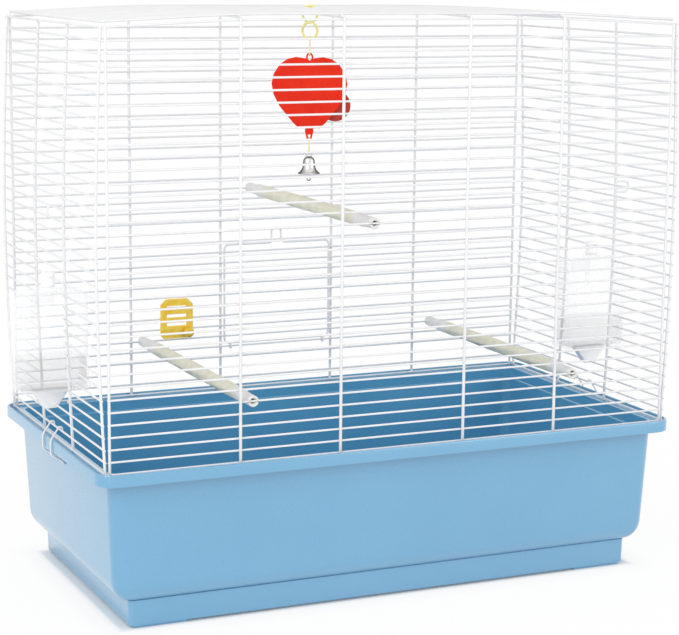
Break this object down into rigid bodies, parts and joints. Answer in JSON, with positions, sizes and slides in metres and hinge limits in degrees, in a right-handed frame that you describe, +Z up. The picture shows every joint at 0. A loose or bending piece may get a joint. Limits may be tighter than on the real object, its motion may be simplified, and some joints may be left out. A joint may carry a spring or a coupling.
{
  "type": "bird cage",
  "caption": "Long wire bird cage on a deep blue plastic tray, with a drop door, swivel feeders at the ends, perches and a hanging heart toy with a bell.",
  "frame": {"origin": "middle of the cage, on the surface that the tray's pads stand on", "axes": "+X along the cage's length, +Y towards the side with the door, +Z up"},
  "size_m": [0.673, 0.328, 0.5662],
  "materials": {
    "white_wire": "white gloss coat",
    "blue_plastic": "moulded, soft shine",
    "cream_plastic": "ribbed, matt",
    "clear_plastic": "clear",
    "smoky_plastic": "see-through",
    "grey_plastic": "moulded",
    "yellow_plastic": "moulded",
    "gold_plastic": "moulded",
    "red_plastic": "moulded, glossy",
    "silver_metal": "polished"
  },
  "bodies": {
    "cage": {"tray": "blue_plastic", "plain_side_panel": "white_wire", "door_side_panel": "white_wire", "left_end_panel": "white_wire", "right_end_panel": "white_wire", "roof_panel": "white_wire", "upper_perch": "cream_plastic", "lower_left_perch": "cream_plastic", "lower_right_perch": "cream_plastic", "left_lower_bearing": "grey_plastic", "left_upper_bearing": "grey_plastic", "right_lower_bearing": "grey_plastic", "right_upper_bearing": "grey_plastic", "treat_clip_plate": "gold_plastic", "treat_clip_knob": "gold_plastic"},
    "door": {"door": "white_wire"},
    "left_tray_clip": {"left_tray_clip": "white_wire"},
    "right_tray_clip": {"right_tray_clip": "white_wire"},
    "left_feeder": {"left_feeder_body": "clear_plastic", "left_feeder_cup": "smoky_plastic", "left_feeder_lid": "clear_plastic"},
    "right_feeder": {"right_feeder_body": "clear_plastic", "right_feeder_cup": "smoky_plastic", "right_feeder_lid": "clear_plastic"},
    "toy_hook": {"toy_hook": "yellow_plastic"},
    "toy_upper_link": {"toy_upper_link": "yellow_plastic"},
    "toy_heart": {"toy_heart": "red_plastic", "toy_disc": "red_plastic"},
    "toy_lower_link": {"toy_lower_link": "yellow_plastic"},
    "toy_bell": {"toy_bell": "silver_metal"},
    "toy_clapper": {"toy_clapper": "silver_metal"}
  },
  "joints": [
    {"name": "door_hinge", "type": "hinge", "parent": "cage", "child": "door", "pos_m": [0, 0.155, 0.19906], "axis": [-1, 0, 0], "range_deg": [0, 160]},
    {"name": "left_tray_clip_hinge", "type": "hinge", "parent": "cage", "child": "left_tray_clip", "pos_m": [-0.29402, 0, 0.16504], "axis": [0, 1, 0], "range_deg": [0, 100]},
    {"name": "right_tray_clip_hinge", "type": "hinge", "parent": "cage", "child": "right_tray_clip", "pos_m": [0.29402, 0, 0.16504], "axis": [0, -1, 0], "range_deg": [0, 100]},
    {"name": "left_feeder_swivel", "type": "hinge", "parent": "cage", "child": "left_feeder", "pos_m": [-0.2997, 0, 0.20322], "axis": [0, 0, 1], "continuous": true},
    {"name": "right_feeder_swivel", "type": "hinge", "parent": "cage", "child": "right_feeder", "pos_m": [0.2997, 0, 0.20322], "axis": [0, 0, 1], "continuous": true},
    {"name": "toy_hook_swing", "type": "hinge", "parent": "cage", "child": "toy_hook", "pos_m": [-0.0306, 0, 0.56248], "axis": [1, 0, 0], "range_deg": [-30, 30]},
    {"name": "toy_upper_link_swing", "type": "hinge", "parent": "toy_hook", "child": "toy_upper_link", "pos_m": [-0.0306, 0, 0.53253], "axis": [0.6428, -0.766, 0], "range_deg": [-20, 20]},
    {"name": "toy_heart_swing", "type": "hinge", "parent": "toy_upper_link", "child": "toy_heart", "pos_m": [-0.0306, 0, 0.51608], "axis": [0.4226, 0.9063, 0], "range_deg": [-25, 25]},
    {"name": "toy_lower_link_swing", "type": "hinge", "parent": "toy_heart", "child": "toy_lower_link", "pos_m": [-0.0306, 0, 0.43303], "axis": [0.9063, -0.4226, 0], "range_deg": [-25, 25]},
    {"name": "toy_bell_swing", "type": "hinge", "parent": "toy_lower_link", "child": "toy_bell", "pos_m": [-0.0306, 0, 0.41973], "axis": [0.4226, 0.9063, 0], "range_deg": [-25, 25]},
    {"name": "toy_clapper_swing", "type": "hinge", "parent": "toy_bell", "child": "toy_clapper", "pos_m": [-0.0306, 0, 0.41513], "axis": [0.4226, 0.9063, 0], "range_deg": [-22, 22]}
  ]
}
